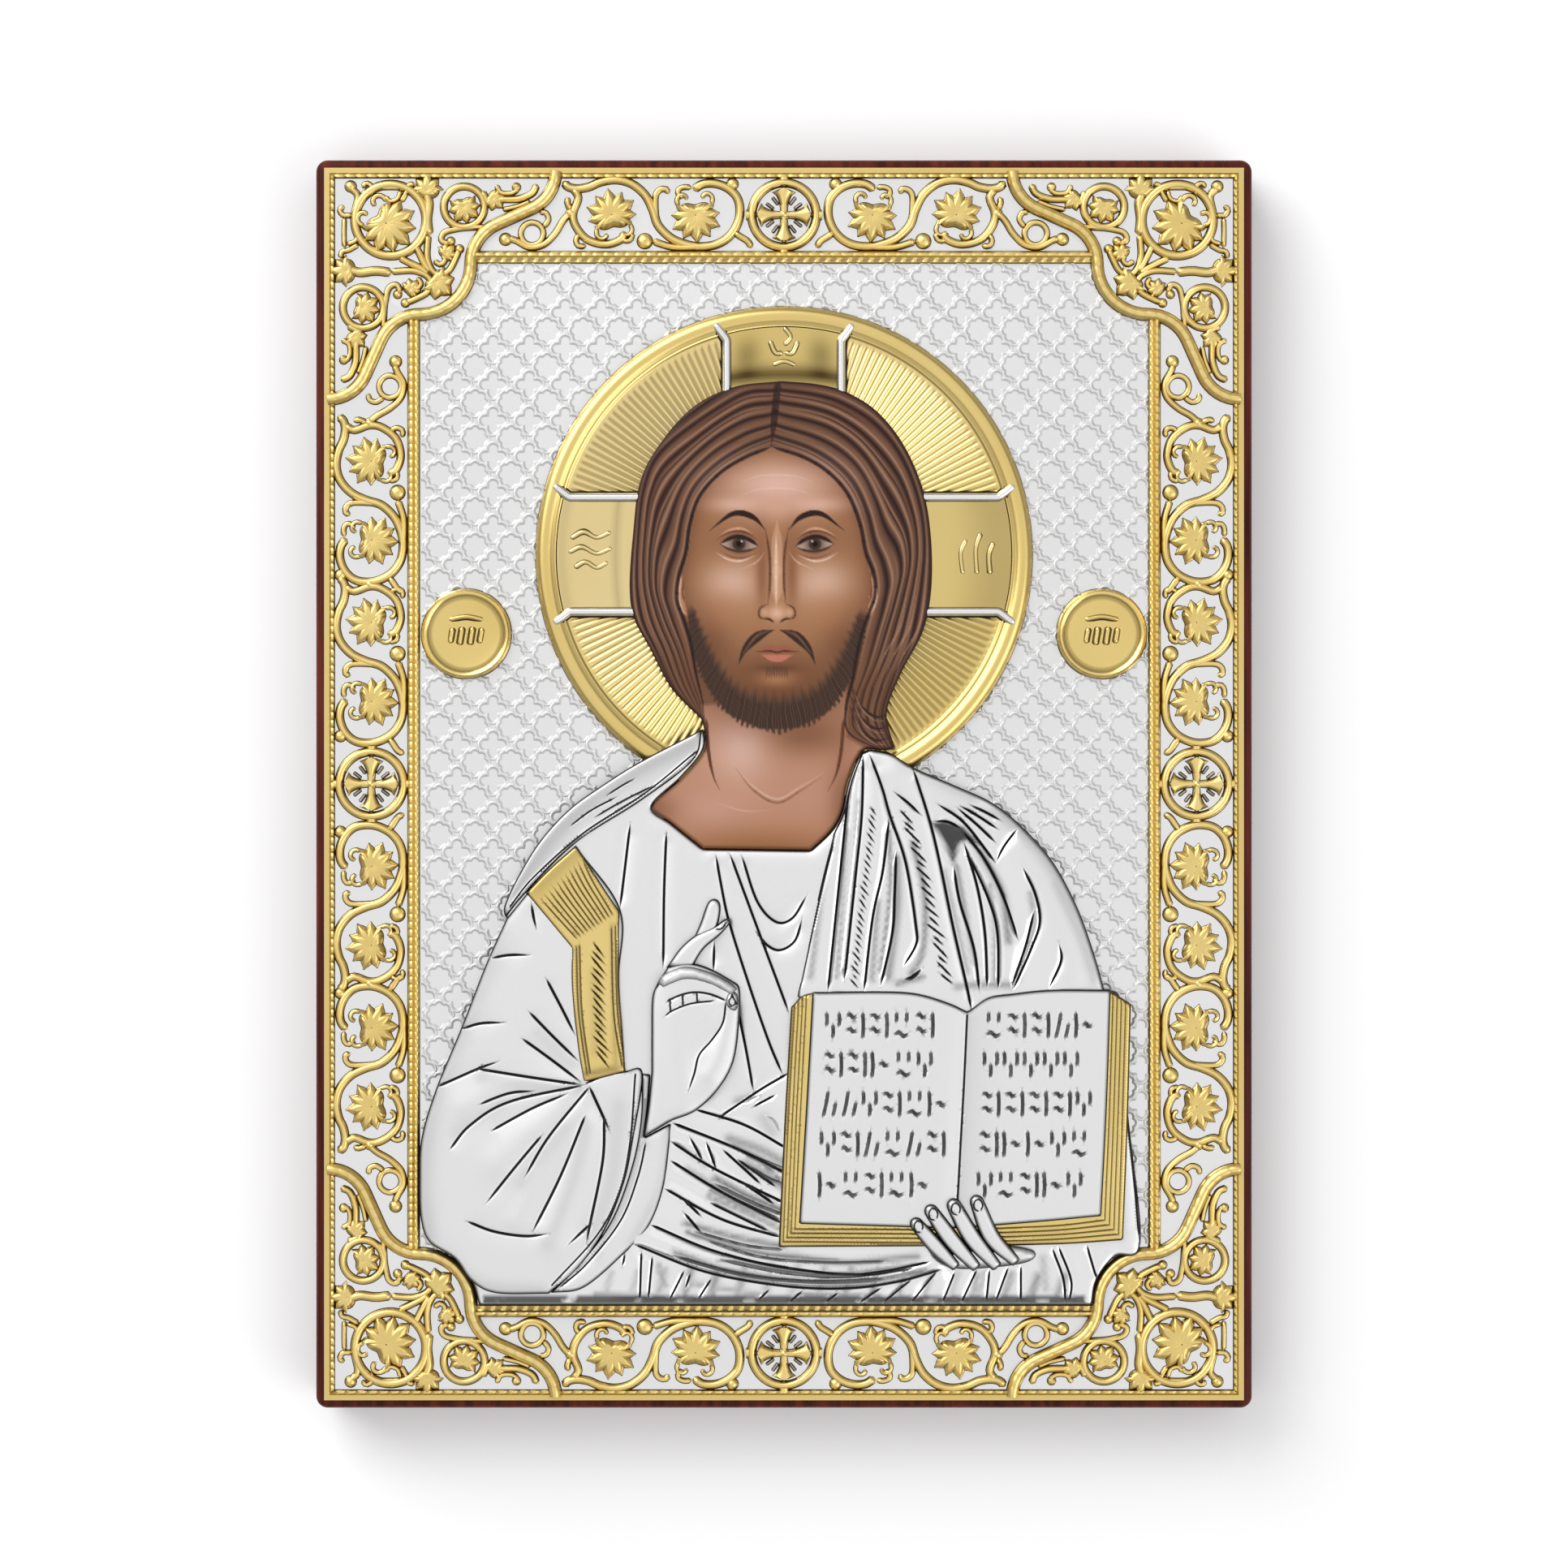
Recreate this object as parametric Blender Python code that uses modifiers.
"""Icon panel: a stained board faced with one embossed, part-gilt silver sheet and a painted face plate.

The panel lies on its back. Its face looks up (+Z) and the icon's own up is +Y. Lengths are in metres.
"""
import math

import bmesh
import bpy

MILLIMETRE = 0.001

# Board
PANEL_WIDTH = 0.120
PANEL_HEIGHT = 0.160
PANEL_THICKNESS = 0.010
PANEL_CORNER_RADIUS = 0.0015
PANEL_EDGE_RADIUS = 0.0009

# Sheet, its lip, and the strips of the frame band
COVER_MARGIN = 0.0012
COVER_GAP = 0.0003
SHEET_THICKNESS = 0.0006
LIP_WIDTH = 0.0008
LIP_HEIGHT = 0.0004
BEAD_WIDTH = 0.0006
BEAD_HEIGHT = 0.0006
CHANNEL_WIDTH = 0.0093
INNER_STRIP_WIDTH = 0.0015
INNER_STRIP_HEIGHT = 0.0009

# Scrollwork in the channel
STEM_WIDTH = 0.0011
STEM_HEIGHT = 0.0006
RING_HEIGHT = 0.0007
LEAF_HEIGHT = 0.0010
LEAF_RADIUS = 0.0028
LEAF_LOBES = 5
KNOB_RADIUS = 0.0009
CROSS_REACH = 0.0033
CROSS_HEIGHT = 0.0009
CHANNEL_CLEARANCE = 0.00035
END_ROOM = 0.0076
SIDE_PAIRS = 2
TOP_PAIRS = 1

# Ogee rib that closes off each corner
CORNER_RUN = 0.0296
RIB_WIDTH = 0.0015
RIB_HEIGHT = 0.00125

# Halo and medallions
HALO_RADIUS = 0.0318
HALO_RIM_WIDTH = 0.0028
HALO_RIM_HEIGHT = 0.00145
HALO_DISH_HEIGHT = 0.0010
HALO_ARM_WIDTH = 0.0146
HALO_ARM_HEIGHT = 0.0012
HALO_BAR_WIDTH = 0.0010
HALO_BAR_HEIGHT = 0.00165
HALO_STEPS = 36
MEDALLION_RADIUS = 0.0058
MEDALLION_RIM_WIDTH = 0.0010
MEDALLION_RIM_HEIGHT = 0.0013
MEDALLION_DISH_HEIGHT = 0.0008
MEDALLION_STEPS = 16

# Layers of the figure, as heights over the sheet
BODY_HEIGHT = 0.00155
MANTLE_HEIGHT = 0.0020
SLEEVE_HEIGHT = 0.0022
GOLD_BAND_HEIGHT = 0.00245
HAND_HEIGHT = 0.0028
BOOK_HEIGHT = 0.00255
PAGE_HEIGHT = 0.0030
FOLD_HEIGHT = 0.0007
FINGER_HEIGHT = 0.0038
FINGER_SUNK = 0.0002
LAYER_EDGE = 0.0004
LAYER_ROOT = 0.0005
RIDGE_SUNK = 0.00005
RIDGE_ROOT = 0.0003
BODY_INSET = 0.0003

# Painted plate in the cut-out
PLATE_HEIGHT = 0.0018
PLATE_CLEARANCE = 0.0003
PLATE_EDGE = 0.0002

# The figure is drawn in millimetres from the middle of a field of this size, which is then fitted
DRAWN_FIELD_WIDTH = 93.2
DRAWN_FIELD_HEIGHT = 133.2
DRAWN_HALO_CENTRE = (0.0, 29.3)
DRAWN_MEDALLION_CENTRE = (40.6, 19.2)
DRAWN_FINGER_WIDTH = 2.1
# A corner is drawn in millimetres from the sheet's corner, for a corner run of this length
DRAWN_CORNER_RUN = 29.6
DRAWN_STRIP_END = 19.2
DRAWN_BIG_RING = 4.55
DRAWN_SMALL_RING = 2.5
DRAWN_FOOT_START = 0.5
DRAWN_FOOT_RADIUS = 5.2
DRAWN_SHOULDER_RADIUS = 5.5
DRAWN_SHOULDER_RUN = 4.9
OGEE_TURN_DEG = 66
# A pair of scroll turns is drawn in millimetres for this pitch and this channel
DRAWN_PITCH = 10.8
DRAWN_CHANNEL = 9.3
DRAWN_END_RING = 1.55

sheet_top = PANEL_THICKNESS + COVER_GAP + SHEET_THICKNESS
sheet_middle = sheet_top - SHEET_THICKNESS / 2
cover_half_x = PANEL_WIDTH / 2 - COVER_MARGIN
cover_half_y = PANEL_HEIGHT / 2 - COVER_MARGIN
outer_strip = LIP_WIDTH + BEAD_WIDTH
channel_middle = outer_strip + CHANNEL_WIDTH / 2
band_width = outer_strip + CHANNEL_WIDTH + INNER_STRIP_WIDTH
field_half_x = cover_half_x - band_width
field_half_y = cover_half_y - band_width
corner_unit = CORNER_RUN / DRAWN_CORNER_RUN
strip_end = DRAWN_STRIP_END * corner_unit
figure_unit = min(2 * field_half_x / DRAWN_FIELD_WIDTH, 2 * field_half_y / DRAWN_FIELD_HEIGHT)
figure_scale = figure_unit / MILLIMETRE
figure_drop = DRAWN_FIELD_HEIGHT / 2 * figure_unit - field_half_y

for old in list(bpy.data.objects):
    bpy.data.objects.remove(old, do_unlink=True)


def new_collection(name):
    """A fresh collection linked to the scene."""
    collection = bpy.data.collections.new(name)
    bpy.context.scene.collection.children.link(collection)
    return collection


parts = new_collection("Icon panel")
cutters = new_collection("Cutters")
groups = []


def new_group(name):
    """Start a collection of embossed shapes, which are joined to the sheet in one step."""
    groups.append(new_collection(name))


def material(name, color, roughness, metallic):
    """A plain principled material."""
    made = bpy.data.materials.new(name)
    made.use_nodes = True
    shader = made.node_tree.nodes["Principled BSDF"]
    shader.inputs["Base Color"].default_value = (*color, 1.0)
    shader.inputs["Roughness"].default_value = roughness
    shader.inputs["Metallic"].default_value = metallic
    return made


def add_object(name, mesh, collection):
    """Link a mesh object; anything outside the parts is a helper and isn't rendered."""
    made = bpy.data.objects.new(name, mesh)
    collection.objects.link(made)
    if collection is not parts:
        made.hide_render = True
        made.display_type = "WIRE"
    return made


def shape_from_bmesh(name, bm, collection):
    """Turn an edited bmesh into an object with its faces pointing out."""
    bmesh.ops.recalc_face_normals(bm, faces=bm.faces)
    mesh = bpy.data.meshes.new(name)
    bm.to_mesh(mesh)
    bm.free()
    return add_object(name, mesh, collection)


def mesh_from_curve(name, curve, weld, collection):
    """Turn a curve into one closed mesh, with its caps welded on."""
    holder = bpy.data.objects.new(name + "_curve", curve)
    bpy.context.scene.collection.objects.link(holder)
    graph = bpy.context.evaluated_depsgraph_get()
    mesh = bpy.data.meshes.new_from_object(holder.evaluated_get(graph))
    bm = bmesh.new()
    bm.from_mesh(mesh)
    bmesh.ops.remove_doubles(bm, verts=bm.verts, dist=weld)
    bpy.data.objects.remove(holder, do_unlink=True)
    bpy.data.meshes.remove(mesh)
    return shape_from_bmesh(name, bm, collection)


def ridge(name, points, width, height, closed=False, base=None, sizes=None):
    """A raised line with a sharp crest: a four-sided tube, stretched up to its height and flat below."""
    level = (sheet_top if base is None else base) - RIDGE_SUNK
    radius = width / 2
    curve = bpy.data.curves.new(name, "CURVE")
    curve.dimensions = "3D"
    curve.twist_mode = "Z_UP"
    curve.bevel_depth = radius
    curve.bevel_resolution = 0
    curve.use_fill_caps = True
    spline = curve.splines.new("POLY")
    spline.points.add(len(points) - 1)
    for index, (x, y) in enumerate(points):
        spline.points[index].co = (x, y, 0.0, 1.0)
        spline.points[index].radius = sizes[index] if sizes else 1.0
    spline.use_cyclic_u = closed
    made = mesh_from_curve(name, curve, radius / 100, groups[-1])
    for vertex in made.data.vertices:
        stretch = height + RIDGE_SUNK if vertex.co.z > 0 else RIDGE_ROOT
        vertex.co.z *= stretch / radius
    made.location.z = level
    return made


def slab(name, outline, bottom, top, edge, collection):
    """A flat layer with bevelled edges, filled from its outline."""
    curve = bpy.data.curves.new(name, "CURVE")
    curve.dimensions = "2D"
    curve.fill_mode = "BOTH"
    curve.extrude = (top - bottom) / 2 - edge
    curve.bevel_depth = edge
    curve.bevel_resolution = 0
    curve.offset = -edge
    spline = curve.splines.new("POLY")
    spline.points.add(len(outline) - 1)
    for index, (x, y) in enumerate(outline):
        spline.points[index].co = (x, y, 0.0, 1.0)
    spline.use_cyclic_u = True
    made = mesh_from_curve(name, curve, edge / 100, collection)
    made.location.z = (top + bottom) / 2
    return made


def layer(name, outline, height, edge=LAYER_EDGE):
    """A layer of the embossed figure, rooted in the sheet with its lower bevel out of sight."""
    return slab(name, outline, sheet_top - LAYER_ROOT, sheet_top + height, edge, groups[-1])


def boss(name, centre, outline, height):
    """A low pyramid over an outline given around its own centre: leaves, knobs and crosses."""
    bm = bmesh.new()
    bmesh.ops.create_cone(
        bm, cap_ends=True, cap_tris=False, segments=len(outline), radius1=1.0, radius2=0.0, depth=1.0
    )
    rim = [v for v in bm.verts if v.co.z < 0]
    rim.sort(key=lambda v: math.atan2(v.co.y, v.co.x) % math.tau)
    crest = next(v for v in bm.verts if v.co.z > 0)
    crest.co = (centre[0], centre[1], sheet_top + height)
    sunk = 1 + (sheet_top - sheet_middle) / height
    for corner, (x, y) in zip(rim, outline):
        corner.co = (centre[0] + x * sunk, centre[1] + y * sunk, sheet_middle)
    return shape_from_bmesh(name, bm, groups[-1])


def ring_points(centre, radius_x, radius_y, count):
    """Points round an ellipse."""
    turns = [math.tau * index / count for index in range(count)]
    return [(centre[0] + radius_x * math.cos(t), centre[1] + radius_y * math.sin(t)) for t in turns]


def knob(name, centre, radius=KNOB_RADIUS, height=STEM_HEIGHT):
    """A small round ball at the end of a stem."""
    outline = [(x, y) for x, y in ring_points((0, 0), radius, radius, 6)]
    return boss(name, centre, outline, height)


def leaf(name, centre, aim, radius=LEAF_RADIUS, height=LEAF_HEIGHT, lobes=LEAF_LOBES):
    """A palmette: lobes fan out round the aim and the base is narrow."""
    outline = []
    count = 2 * lobes
    for index in range(count):
        turn = math.tau * index / count
        away = (1 - math.cos(turn - aim)) / 2
        reach = radius * (1 - 0.32 * away)
        if index % 2:
            reach *= 0.66
        outline.append((reach * math.cos(turn), reach * math.sin(turn)))
    return boss(name, centre, outline, height)


def inset(outline, distance):
    """Move each side of a closed outline inward by one distance."""
    area = sum(a[0] * b[1] - b[0] * a[1] for a, b in zip(outline, outline[1:] + outline[:1]))
    side = 1 if area > 0 else -1
    moved = []
    for before, here, after in zip(outline[-1:] + outline[:-1], outline, outline[1:] + outline[:1]):
        first = (here[0] - before[0], here[1] - before[1])
        second = (after[0] - here[0], after[1] - here[1])
        normal_a = (-first[1] / math.hypot(*first), first[0] / math.hypot(*first))
        normal_b = (-second[1] / math.hypot(*second), second[0] / math.hypot(*second))
        mitre = (normal_a[0] + normal_b[0], normal_a[1] + normal_b[1])
        scale = 2 * distance * side / (mitre[0] ** 2 + mitre[1] ** 2)
        moved.append((here[0] + mitre[0] * scale, here[1] + mitre[1] * scale))
    return moved


def on_figure(points):
    """Drawn figure coordinates to metres."""
    return [(x * figure_unit, y * figure_unit + figure_drop) for x, y in points]


# Board
def make_board():
    """The board, with rounded plan corners and rounded edges."""
    bm = bmesh.new()
    bmesh.ops.create_cube(bm, size=1.0)
    bmesh.ops.scale(bm, vec=(PANEL_WIDTH, PANEL_HEIGHT, PANEL_THICKNESS), verts=bm.verts)
    upright = [e for e in bm.edges if abs(e.verts[0].co.z - e.verts[1].co.z) > PANEL_THICKNESS / 2]
    bmesh.ops.bevel(bm, geom=upright, offset=PANEL_CORNER_RADIUS, segments=4, profile=0.5, affect="EDGES")
    board = shape_from_bmesh("wood_panel", bm, parts)
    board.location.z = PANEL_THICKNESS / 2
    bevel = board.modifiers.new("edges", "BEVEL")
    bevel.width = PANEL_EDGE_RADIUS
    bevel.segments = 3
    bevel.limit_method = "ANGLE"
    bevel.angle_limit = math.radians(50)
    board.data.materials.append(material("stained wood", (0.16, 0.045, 0.03), 0.35, 0.0))
    board.data.shade_smooth()
    return board


# Sheet with its lip and bead row
def make_sheet():
    """The flat sheet; its rim is stepped up in mitred insets of its top face."""
    bm = bmesh.new()
    bmesh.ops.create_cube(bm, size=1.0)
    thick = SHEET_THICKNESS + LIP_HEIGHT
    bmesh.ops.scale(bm, vec=(2 * cover_half_x, 2 * cover_half_y, thick), verts=bm.verts)
    lift = PANEL_THICKNESS + COVER_GAP + thick / 2
    bmesh.ops.translate(bm, vec=(0, 0, lift), verts=bm.verts)
    bm.faces.ensure_lookup_table()
    top = max(bm.faces, key=lambda f: f.calc_center_median().z)
    slope = BEAD_WIDTH / 3
    steps = (
        (LIP_WIDTH, 0.0),
        (slope, BEAD_HEIGHT - LIP_HEIGHT),
        (slope, 0.0),
        (slope, -BEAD_HEIGHT),
    )
    for width, rise in steps:
        bmesh.ops.inset_region(bm, faces=[top], thickness=width, use_even_offset=True)
        bmesh.ops.translate(bm, vec=(0, 0, rise), verts=top.verts)
    return shape_from_bmesh("silver_cover", bm, parts)


# Inner strips
def make_inner_strips():
    """Four bars round the field that end inside the corner ribs."""
    end_x = cover_half_x - strip_end
    end_y = cover_half_y - strip_end
    middle_x = field_half_x + INNER_STRIP_WIDTH / 2
    middle_y = field_half_y + INNER_STRIP_WIDTH / 2
    for sign in (-1, 1):
        across = [(-end_x, sign * middle_y), (end_x, sign * middle_y)]
        upright = [(sign * middle_x, -end_y), (sign * middle_x, end_y)]
        for label, line in (("across", across), ("upright", upright)):
            ridge(f"strip_{label}_{sign}", line, INNER_STRIP_WIDTH, INNER_STRIP_HEIGHT)


# Scroll turns
def scroll_pair(name, place):
    """Two turns of the running scroll: a wave stem, a spiral branch, knobs and two palmettes."""
    stem = (
        (-4.4, 3.0), (-2.2, 3.8), (0.6, 3.95), (3.4, 2.8), (5.2, 0.4), (7.0, -2.5), (9.6, -3.9), (12.4, -3.9),
        (14.9, -2.4), (15.9, 0.1), (15.0, 2.6), (12.8, 3.9), (10.6, 3.7),
    )
    branch = ((-4.9, 1.5), (-4.8, -0.6), (-3.4, -3.0), (-0.8, -4.0), (1.4, -3.4))
    ridge(f"{name}_stem", place(stem), STEM_WIDTH, STEM_HEIGHT)
    ridge(f"{name}_branch", place(branch), STEM_WIDTH, STEM_HEIGHT * 0.95)
    knob(f"{name}_ball", place([(4.3, -3.4)])[0], KNOB_RADIUS)
    for index, (spot, base) in enumerate((((-0.3, 0.2), (0.6, -2.6)), ((10.8, -0.2), (10.4, 3.0)))):
        centre, foot = place([spot, base])
        aim = math.atan2(centre[1] - foot[1], centre[0] - foot[0])
        leaf(f"{name}_leaf{index}", centre, aim)


def cross_roundel(name, centre, radius):
    """A ring round an equal-armed cross with flared ends."""
    ridge(f"{name}_ring", ring_points(centre, radius, radius, 14), STEM_WIDTH, RING_HEIGHT, closed=True)
    arm = ((1.0, 0.0), (0.82, 0.44), (0.2, 0.2), (0.44, 0.82))
    outline = []
    for turn in range(4):
        c, s = round(math.cos(turn * math.pi / 2)), round(math.sin(turn * math.pi / 2))
        outline += [((x * c - y * s) * CROSS_REACH, (x * s + y * c) * CROSS_REACH) for x, y in arm]
    boss(f"{name}_cross", centre, outline, CROSS_HEIGHT)


def end_curl(name, place, unit):
    """The small ring and stem that fill the band's end beyond the last turn."""
    ring = place([(-10.1, -2.1)])[0]
    radius = DRAWN_END_RING * unit
    circle = ring_points(ring, radius, radius, 7)
    ridge(f"{name}_ring", circle, STEM_WIDTH * 0.7, STEM_HEIGHT * 0.85, closed=True)
    tail = ((-8.2, -3.7), (-6.4, -2.6), (-5.5, 0.8))
    ridge(f"{name}_tail", place(tail), STEM_WIDTH, STEM_HEIGHT * 0.92)


def make_running_scroll():
    """Scroll pairs between each corner and the cross in the middle of each side, mirrored both ways."""
    radius = CHANNEL_WIDTH / 2 - CHANNEL_CLEARANCE - STEM_WIDTH / 2
    middle_x = cover_half_x - channel_middle
    middle_y = cover_half_y - channel_middle
    across_unit = CHANNEL_WIDTH / DRAWN_CHANNEL
    top_pitch = (cover_half_x - CORNER_RUN - END_ROOM) / (2 * TOP_PAIRS)
    side_pitch = (cover_half_y - CORNER_RUN - END_ROOM) / (2 * SIDE_PAIRS)
    for sx in (-1, 1):
        cross_roundel(f"cross_side{sx}", (sx * middle_x, 0.0), radius)
        for sy in (-1, 1):
            def along_top(points, start=0.0, unit=1.0):
                drawn = [(start - s * unit, middle_y + t * across_unit) for s, t in points]
                return [(sx * x, sy * y) for x, y in drawn]

            def along_side(points, start=0.0, unit=1.0):
                drawn = [(middle_x + t * across_unit, start - s * unit) for s, t in points]
                return [(sx * x, sy * y) for x, y in drawn]

            runs = (("top", along_top, top_pitch, TOP_PAIRS), ("side", along_side, side_pitch, SIDE_PAIRS))
            for label, lay, pitch, pairs in runs:
                unit = pitch / DRAWN_PITCH
                for pair in range(pairs):
                    start = 2 * (pair + 1) * pitch
                    scroll_pair(f"{label}{sx}{sy}{pair}", lambda p, f=lay, a=start, u=unit: f(p, a, u))
                start = 2 * pairs * pitch
                end_curl(f"{label}_end{sx}{sy}", lambda p, f=lay, a=start, u=unit: f(p, a, u), across_unit)
    for sy in (-1, 1):
        cross_roundel(f"cross_top{sy}", (0.0, sy * middle_y), radius)


# Corners
def ogee_half():
    """Centre line of a corner rib from its foot to the diagonal: three arcs and one straight."""
    turn = math.radians(OGEE_TURN_DEG)
    line = []
    for step in range(3):
        t = turn * step / 2
        x = DRAWN_FOOT_START + DRAWN_FOOT_RADIUS * math.sin(t)
        line.append((x, DRAWN_CORNER_RUN - DRAWN_FOOT_RADIUS * (1 - math.cos(t))))
    x, y = line[-1]
    x += DRAWN_SHOULDER_RUN * math.cos(turn)
    y -= DRAWN_SHOULDER_RUN * math.sin(turn)
    for step in range(3):
        t = turn * (1 - step / 2)
        across = DRAWN_SHOULDER_RADIUS * (math.sin(turn) - math.sin(t))
        down = DRAWN_SHOULDER_RADIUS * (math.cos(t) - math.cos(turn))
        line.append((x + across, y - down))
    x, y = line[-1]
    crown_radius = y - x
    t = math.pi / 4
    line.append((x + crown_radius * math.sin(t), y - crown_radius * (1 - math.cos(t))))
    return line


def make_corner(sx, sy):
    """One corner: its rib, a large palmette in a ring, and smaller scrolls mirrored about the diagonal."""
    name = f"corner{sx}{sy}"

    def place(points):
        scaled = [(a * corner_unit, b * corner_unit) for a, b in points]
        return [(sx * (cover_half_x - a), sy * (cover_half_y - b)) for a, b in scaled]

    half = ogee_half()
    ridge(f"{name}_rib", place(half + [(b, a) for a, b in half[-2::-1]]), RIB_WIDTH, RIB_HEIGHT)
    ring = place([(8.5, 6.7)])[0]
    big = DRAWN_BIG_RING * corner_unit
    ridge(f"{name}_ring", ring_points(ring, big, big, 13), STEM_WIDTH, RING_HEIGHT, closed=True)
    out = math.atan2(-sy, -sx)
    leaf(f"{name}_leaf", ring, out, LEAF_RADIUS * 1.15, LEAF_HEIGHT * 1.1, LEAF_LOBES + 1)
    leaf(f"{name}_star", place([(14.9, 14.9)])[0], out, LEAF_RADIUS * 0.5, LEAF_HEIGHT * 0.8, 4)
    for flip in (False, True):
        def turned(points):
            return place([(b, a) for a, b in points] if flip else points)

        tag = f"{name}_{'low' if flip else 'high'}"
        small = turned([(18.1, 5.0)])[0]
        r = DRAWN_SMALL_RING * corner_unit
        ridge(f"{tag}_ring", ring_points(small, r, r, 9), STEM_WIDTH * 0.9, STEM_HEIGHT, closed=True)
        leaf(f"{tag}_leaf", small, 0.0, LEAF_RADIUS * 0.55, LEAF_HEIGHT * 0.75, 4)
        leaf(f"{tag}_bud", turned([(14.1, 3.1)])[0], 0.0, LEAF_RADIUS * 0.4, LEAF_HEIGHT * 0.7, 3)
        cup = ((14.6, 8.2), (13.6, 11.0), (16.2, 11.6))
        ridge(f"{tag}_cup", turned(cup), STEM_WIDTH * 0.85, STEM_HEIGHT * 0.9)
        wave = ((22.0, 3.9), (24.4, 3.6), (26.8, 2.2))
        ridge(f"{tag}_wave", turned(wave), STEM_WIDTH * 0.85, STEM_HEIGHT * 0.85)


def make_corners():
    """All four corners."""
    for sx in (-1, 1):
        for sy in (-1, 1):
            make_corner(sx, sy)


# Halo
halo_centre = on_figure([DRAWN_HALO_CENTRE])[0]


def turned_disc(name, centre, profile, steps):
    """A disc turned from a profile of (radius, height over the sheet), outer side last."""
    mesh = bpy.data.meshes.new(name)
    points = [(0.0, 0.0, sheet_top + profile[0][1])]
    points += [(r, 0.0, sheet_top + z) for r, z in profile]
    points += [(profile[-1][0], 0.0, sheet_middle), (0.0, 0.0, sheet_middle)]
    mesh.from_pydata(points, [(i, i + 1) for i in range(len(points) - 1)], [])
    disc = add_object(name, mesh, groups[-1])
    disc.location = (*centre, 0.0)
    screw = disc.modifiers.new("turn", "SCREW")
    screw.steps = steps
    screw.render_steps = steps
    screw.use_merge_vertices = True
    screw.merge_threshold = 0.00001
    return disc


def make_halo():
    """Halo dish and rim."""
    rim_in = HALO_RADIUS - HALO_RIM_WIDTH
    slope = HALO_RIM_WIDTH / 4
    profile = (
        (rim_in, HALO_DISH_HEIGHT),
        (rim_in + slope, HALO_RIM_HEIGHT),
        (HALO_RADIUS - slope, HALO_RIM_HEIGHT),
        (HALO_RADIUS, HALO_DISH_HEIGHT / 2),
    )
    turned_disc("halo", halo_centre, [(r * figure_scale, z) for r, z in profile], HALO_STEPS)


def make_halo_cross():
    """Three arms of the halo's cross, each a plain raised field between two narrow bars."""
    rim_in = HALO_RADIUS - HALO_RIM_WIDTH
    half = HALO_ARM_WIDTH / 2 * figure_scale
    reach = (rim_in - HALO_RIM_WIDTH / 3) * figure_scale
    start = reach * 0.4
    flare = 1.6 * HALO_BAR_WIDTH * figure_scale
    for index, turn in enumerate((0.0, math.pi / 2, math.pi)):
        c, s = math.cos(turn), math.sin(turn)

        def place(points):
            return [(halo_centre[0] + x * c - y * s, halo_centre[1] + x * s + y * c) for x, y in points]

        arm = ((start, -half), (reach, -half), (reach, half), (start, half))
        layer(f"halo_arm{index}", place(arm), HALO_ARM_HEIGHT, LAYER_EDGE / 4)
        for side in (-1, 1):
            bar = ((start, side * half), (reach - flare, side * half), (reach, side * (half + flare * 0.6)))
            ridge(f"halo_bar{index}{side}", place(bar), HALO_BAR_WIDTH, HALO_BAR_HEIGHT)


def make_medallions():
    """The two small round medallions beside the halo."""
    for side in (-1, 1):
        inner = MEDALLION_RADIUS - MEDALLION_RIM_WIDTH
        profile = (
            (inner, MEDALLION_DISH_HEIGHT),
            (MEDALLION_RADIUS - MEDALLION_RIM_WIDTH / 2, MEDALLION_RIM_HEIGHT),
            (MEDALLION_RADIUS, MEDALLION_DISH_HEIGHT / 2),
        )
        spread, rise = DRAWN_MEDALLION_CENTRE
        centre = on_figure([(side * spread, rise)])[0]
        turned_disc(f"medallion{side}", centre, [(r * figure_scale, z) for r, z in profile], MEDALLION_STEPS)


# Head cut-out and plate
HAIR_RIGHT = (
    (-0.3, 51.7), (4.2, 51.3), (8.0, 50.3), (12.0, 47.8), (15.4, 43.6), (17.9, 38.0), (19.0, 32.0),
    (19.1, 25.0), (18.0, 19.4), (15.2, 14.0), (13.4, 9.0), (14.3, 4.6),
)
NECKLINE = (
    (12.4, 4.0), (10.1, 3.9), (8.4, 0.2), (7.6, -3.6), (6.2, -6.1), (3.5, -8.7), (-10.4, -8.5),
    (-14.4, -5.3), (-17.1, -2.9), (-13.2, 1.0), (-10.4, 4.6),
)
HAIR_LEFT = (
    (-10.7, 8.0), (-14.6, 12.0), (-17.4, 17.2), (-19.4, 21.0), (-20.0, 25.0), (-19.6, 31.5),
    (-18.6, 38.8), (-15.6, 44.2), (-11.4, 48.6), (-6.2, 51.0),
)


def make_face_plate():
    """The painted plate, and the cutter that opens the sheet round it with clearance."""
    outline = on_figure(HAIR_RIGHT + NECKLINE + HAIR_LEFT)
    low = PANEL_THICKNESS + COVER_GAP
    top = sheet_top + PLATE_HEIGHT
    plate = slab("painted_face", inset(outline, PLATE_CLEARANCE), low, top, PLATE_EDGE, parts)
    plate.data.materials.append(material("painted plate", (0.36, 0.2, 0.13), 0.45, 0.0))
    deep = SHEET_THICKNESS + LAYER_EDGE
    high = sheet_top + PLATE_HEIGHT + FINGER_HEIGHT
    cutter = slab("head_cutter", outline, sheet_top - deep, high, LAYER_EDGE / 40, cutters)
    return plate, cutter


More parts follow.
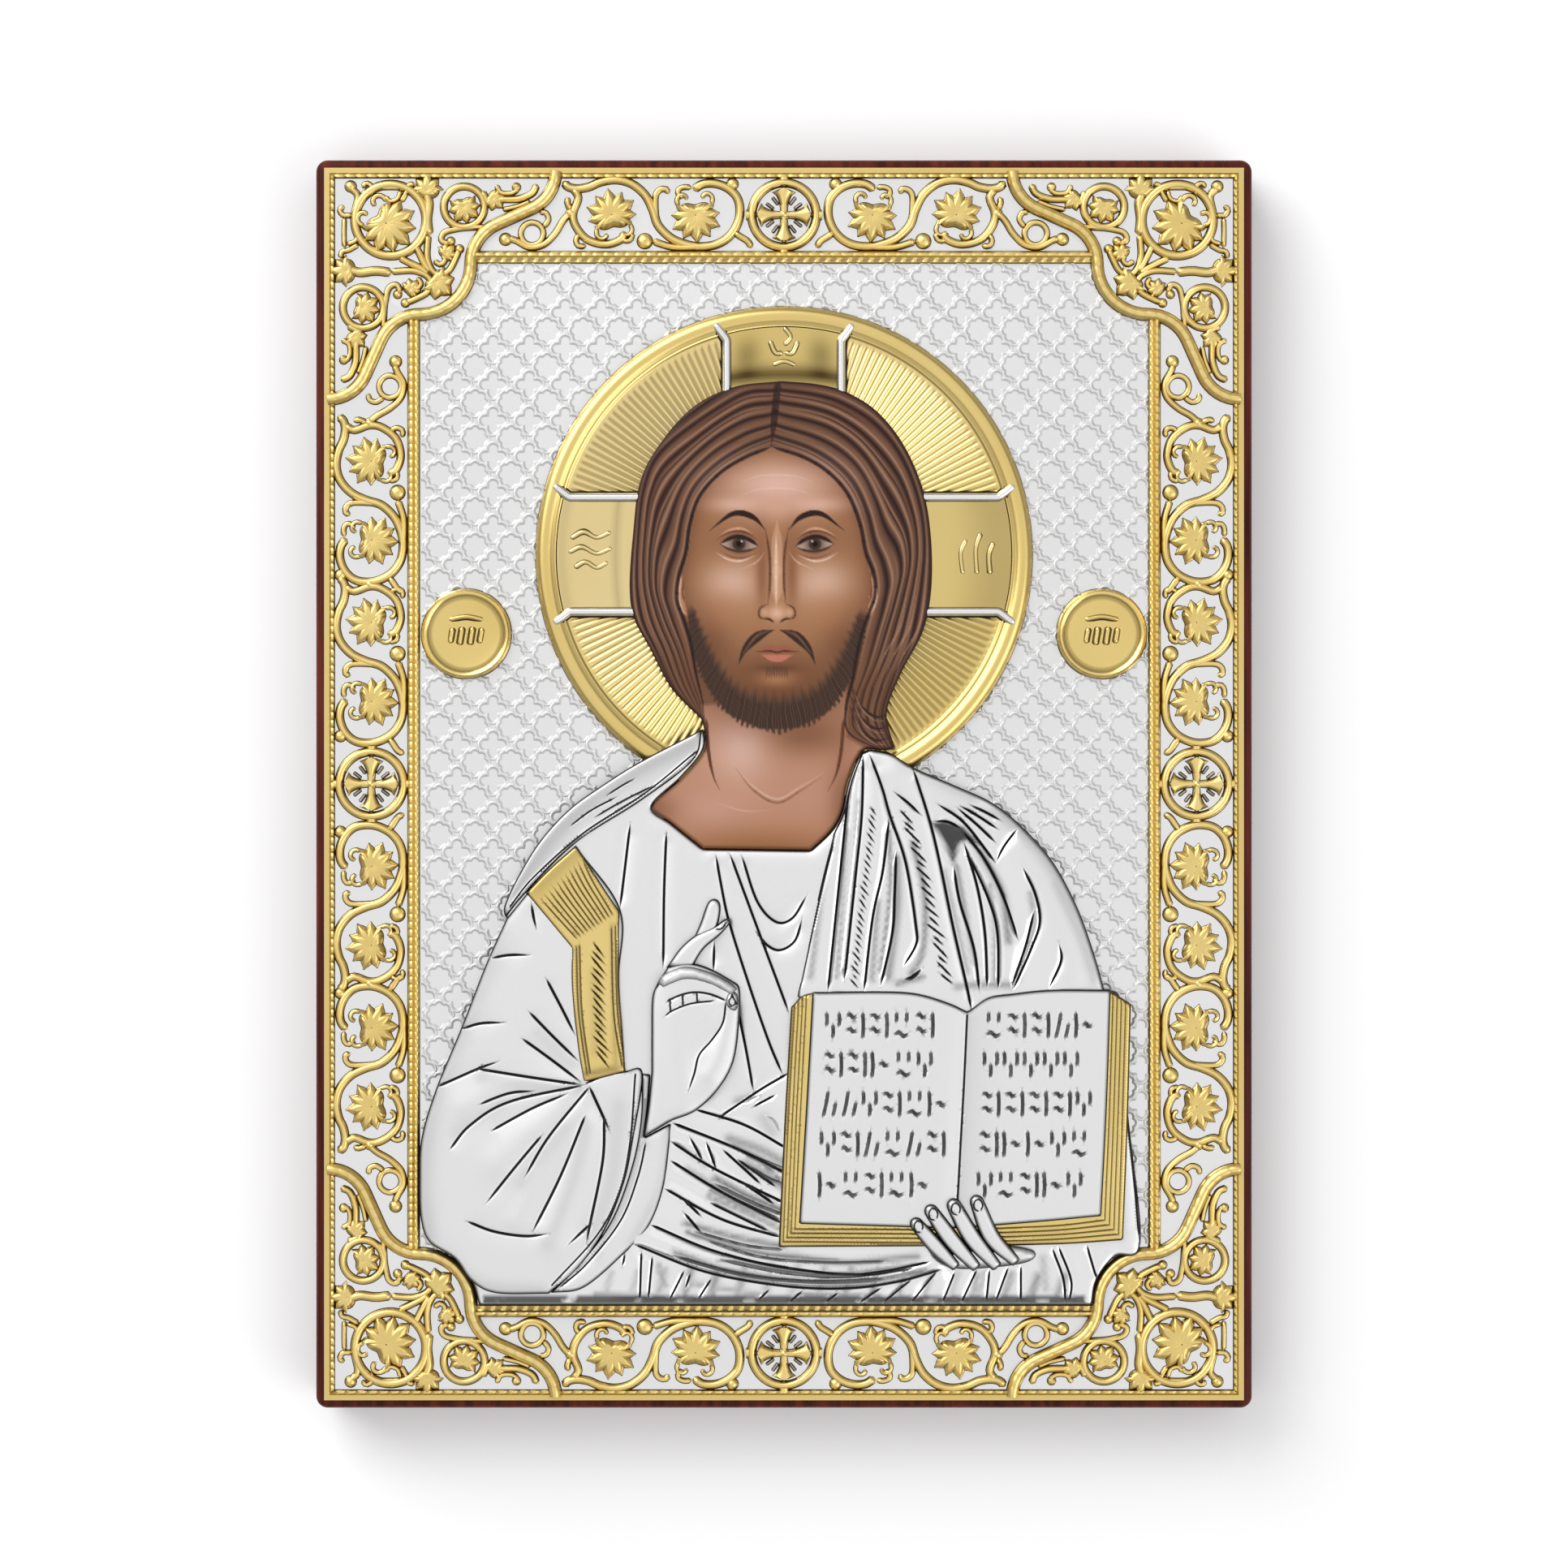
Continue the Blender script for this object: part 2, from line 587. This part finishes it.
# Figure
LEFT_SHOULDER = (
    (-10.4, 7.0), (-18.3, 2.9), (-23.1, -0.1), (-27.5, -3.3), (-31.3, -7.5), (-34.2, -12.3), (-35.7, -15.7),
)
SLEEVE_OUTER = (
    (-35.4, -17.2), (-38.0, -23.0), (-41.2, -31.2), (-44.3, -38.7), (-46.3, -45.0), (-46.9, -50.5),
    (-46.5, -55.5), (-45.2, -58.4), (-42.0, -60.5), (-39.9, -63.3), (-36.8, -64.9), (-30.0, -65.0),
)
RIGHT_SHOULDER = (
    (40.9, -26.4), (39.6, -21.8), (37.4, -15.7), (34.2, -9.8), (30.0, -5.1), (26.4, -2.3), (21.6, -0.1),
    (16.5, 2.1), (13.8, 3.8), (11.0, 4.4),
)


def make_garments():
    """Body, mantle over both shoulders, sleeve, and the gold band, as stepped layers."""
    foot = ((-26.0, -66.4), (39.0, -66.4), (39.7, -63.4), (42.0, -60.5), (45.4, -58.6), (44.2, -28.0))
    whole = on_figure(LEFT_SHOULDER + SLEEVE_OUTER + foot + RIGHT_SHOULDER)
    layer("body", inset(whole, BODY_INSET), BODY_HEIGHT)
    shoulder_low = ((-35.4, -17.0), (-32.9, -14.1), (-26.5, -7.5), (-18.3, -2.2), (-11.4, 3.2))
    layer("mantle_left", on_figure(LEFT_SHOULDER + shoulder_low), MANTLE_HEIGHT)
    hem = (
        (-25.0, -60.4), (-22.0, -56.3), (-19.9, -50.6), (-18.8, -45.0), (-18.0, -36.7), (-20.2, -36.7),
        (-20.6, -16.1), (-26.5, -7.8), (-32.8, -14.3),
    )
    layer("sleeve", on_figure(SLEEVE_OUTER + hem), SLEEVE_HEIGHT)
    cuff = (
        (-17.0, -37.0), (-17.8, -45.0), (-14.4, -43.2), (-15.4, -51.4), (-17.1, -56.1), (-20.2, -59.8),
        (-25.6, -64.2), (-27.5, -63.6), (-23.0, -58.9), (-20.4, -54.2), (-18.9, -47.0),
    )
    layer("cuff", on_figure(cuff), MANTLE_HEIGHT, LAYER_EDGE / 2)
    band = (
        (-32.8, -13.9), (-26.5, -7.7), (-20.8, -16.2), (-20.5, -32.7), (-20.1, -36.6), (-25.5, -38.0),
        (-26.3, -36.0), (-26.9, -27.5), (-27.1, -20.9),
    )
    layer("gold_band", on_figure(band), GOLD_BAND_HEIGHT, LAYER_EDGE / 2)
    drape = ((7.6, -3.6), (5.6, -8.5), (3.6, -16.5), (1.6, -26.8))
    layer("mantle_right", on_figure(RIGHT_SHOULDER + drape), MANTLE_HEIGHT)


def fold(name, points, width, layer_height):
    """A rolled fold lying on one of the layers, thin at both ends."""
    count = len(points)
    sizes = [0.45 if index in (0, count - 1) else 1.0 for index in range(count)]
    wide = width * figure_unit
    ridge(name, on_figure(points), wide, FOLD_HEIGHT, base=sheet_top + layer_height, sizes=sizes)


def make_folds():
    """The folds that show from a step away: round the elbow, down the mantle and across the waist."""
    elbow = ((-36.5, -35.0), (-38.5, -43.5), (-35.5, -51.0), (-30.0, -54.5))
    for index, (x, y) in enumerate(elbow):
        bend = ((x - 26.6) / 2 - 0.4, (y - 38.8) / 2 + 1.2)
        fold(f"elbow_fold{index}", ((x, y), bend, (-26.6, -38.8)), 1.9, SLEEVE_HEIGHT)
    mantle = (
        ((10.0, 2.6), (8.9, -7.0), (7.0, -17.0), (5.0, -26.0), 2.6),
        ((13.2, 1.8), (14.2, -6.0), (12.3, -16.0), (10.6, -26.0), 2.8),
        ((16.6, 1.0), (17.8, -7.0), (20.6, -17.0), (23.2, -26.4), 2.8),
        ((20.6, -5.2), (25.0, -10.5), (27.2, -18.0), (26.8, -25.2), 2.6),
        ((24.0, -4.5), (29.5, -11.5), (32.6, -18.0), (29.8, -25.2), 2.6),
        ((30.4, -7.6), (35.2, -13.5), (36.2, -20.0), (34.8, -25.4), 2.2),
    )
    for index, (*points, width) in enumerate(mantle):
        fold(f"mantle_fold{index}", points, width, MANTLE_HEIGHT)
    waist = (
        ((-8.0, -41.0), (-3.0, -38.4), (0.4, -36.8), 1.6),
        ((-13.2, -44.9), (-6.5, -47.6), (0.2, -50.4), 2.8),
        ((-13.4, -49.7), (-7.0, -53.6), (0.0, -55.6), 2.8),
        ((-15.0, -54.0), (-7.0, -57.2), (0.0, -58.4), 2.4),
    )
    for index, (*points, width) in enumerate(waist):
        fold(f"waist_fold{index}", points, width, BODY_HEIGHT)
    roll = ((-18.6, -58.2), (-9.0, -61.4), (2.0, -62.6), (11.0, -62.1), (17.2, -61.0))
    fold("forearm_fold", roll, 4.2, BODY_HEIGHT)
    tunic = (
        ((-14.6, -6.0), (-15.0, -22.6), 1.0),
        ((-8.6, -9.4), (-2.0, -32.0), 1.0),
        ((-6.9, -9.4), (0.6, -28.6), 1.0),
    )
    for index, (*points, width) in enumerate(tunic):
        fold(f"tunic_fold{index}", points, width, BODY_HEIGHT - FOLD_HEIGHT / 2)


def make_hand():
    """The raised right hand: palm, the folded fingers over it, and two fingers that point up."""
    palm = (
        (-14.6, -23.2), (-16.6, -26.4), (-16.9, -36.5), (-17.8, -45.0), (-14.3, -43.0), (-11.0, -41.4),
        (-8.2, -38.8), (-6.4, -35.2), (-5.7, -30.5), (-5.7, -25.6), (-9.0, -23.7), (-11.4, -22.9),
    )
    layer("palm", on_figure(palm), HAND_HEIGHT)
    tip = [1.0, 1.0, 0.7]
    raised = (
        ((-13.4, -23.4), (-11.2, -20.2), (-8.9, -15.4), 2.0),
        ((-12.4, -23.6), (-10.4, -21.0), (-7.5, -17.7), 1.7),
    )
    for index, (*points, width) in enumerate(raised):
        wide = width * figure_unit
        rise = HAND_HEIGHT - BODY_HEIGHT
        ridge(f"raised_finger{index}", on_figure(points), wide, rise, base=sheet_top + BODY_HEIGHT, sizes=tip)
    folded = (
        ((-15.4, -24.9), (-10.6, -24.0), (-6.6, -26.0), 1.8),
        ((-15.4, -27.0), (-10.6, -25.9), (-6.8, -27.9), 1.8),
    )
    for index, (*points, width) in enumerate(folded):
        wide = width * figure_unit
        base = sheet_top + HAND_HEIGHT
        ridge(f"folded_finger{index}", on_figure(points), wide, FOLD_HEIGHT, base=base, sizes=tip)


def make_book():
    """The open book: its gilt block, two pages, and the left hand's fingers over the lower edge."""
    block = (
        (0.9, -28.3), (3.6, -26.4), (12.4, -26.3), (19.5, -27.3), (23.3, -28.8), (27.0, -27.0), (33.7, -25.9),
        (41.7, -26.0), (44.1, -28.0), (43.2, -58.1), (28.7, -58.8), (17.2, -58.8), (-0.6, -59.0),
    )
    layer("book_block", on_figure(block), BOOK_HEIGHT)
    left_page = ((3.5, -26.7), (12.4, -26.7), (19.5, -27.6), (23.0, -29.0), (21.6, -56.4), (1.9, -56.0))
    right_page = (
        (23.5, -29.0), (27.0, -27.3), (33.7, -26.2), (41.6, -26.3), (40.6, -55.0), (27.0, -56.1),
        (22.1, -56.4),
    )
    layer("left_page", on_figure(left_page), PAGE_HEIGHT)
    layer("right_page", on_figure(right_page), PAGE_HEIGHT)
    fingers = (
        ((20.9, -61.4), (19.3, -58.9), (17.0, -56.2)),
        ((24.0, -61.5), (21.4, -58.4), (18.9, -54.6)),
        ((26.9, -61.3), (24.2, -57.9), (21.8, -53.9)),
        ((29.4, -60.8), (26.4, -57.9), (24.7, -53.5)),
    )
    wide = DRAWN_FINGER_WIDTH * figure_unit
    base = BOOK_HEIGHT - FINGER_SUNK
    for index, points in enumerate(fingers):
        rise = FINGER_HEIGHT - base
        reach = [0.9, 1.0, 0.8]
        ridge(f"book_finger{index}", on_figure(points), wide, rise, base=sheet_top + base, sizes=reach)
    back = (
        (19.0, -60.2), (20.4, -57.4), (28.0, -57.4), (31.8, -59.4), (31.6, -61.0), (27.0, -62.2),
        (20.8, -62.2),
    )
    layer("left_hand", on_figure(back), HAND_HEIGHT)


EMBOSSING = (
    ("Strips", make_inner_strips),
    ("Scrollwork", make_running_scroll),
    ("Corners", make_corners),
    ("Halo", make_halo),
    ("Halo cross", make_halo_cross),
    ("Medallions", make_medallions),
    ("Garments", make_garments),
    ("Folds", make_folds),
    ("Hand", make_hand),
    ("Book", make_book),
)


def make_cover():
    """The embossed sheet: every shape is joined to it, then the head's cut-out is opened."""
    cover = make_sheet()
    for name, make in EMBOSSING:
        new_group(name)
        make()
    plate, cutter = make_face_plate()
    for group in groups:
        join = cover.modifiers.new(group.name, "BOOLEAN")
        join.operation = "UNION"
        join.operand_type = "COLLECTION"
        join.collection = group
        join.solver = "EXACT"
    opening = cover.modifiers.new("cut-out", "BOOLEAN")
    opening.operation = "DIFFERENCE"
    opening.object = cutter
    opening.solver = "EXACT"
    cover.data.materials.append(material("part-gilt silver", (0.86, 0.84, 0.78), 0.3, 1.0))
    return cover, plate


make_board()
make_cover()
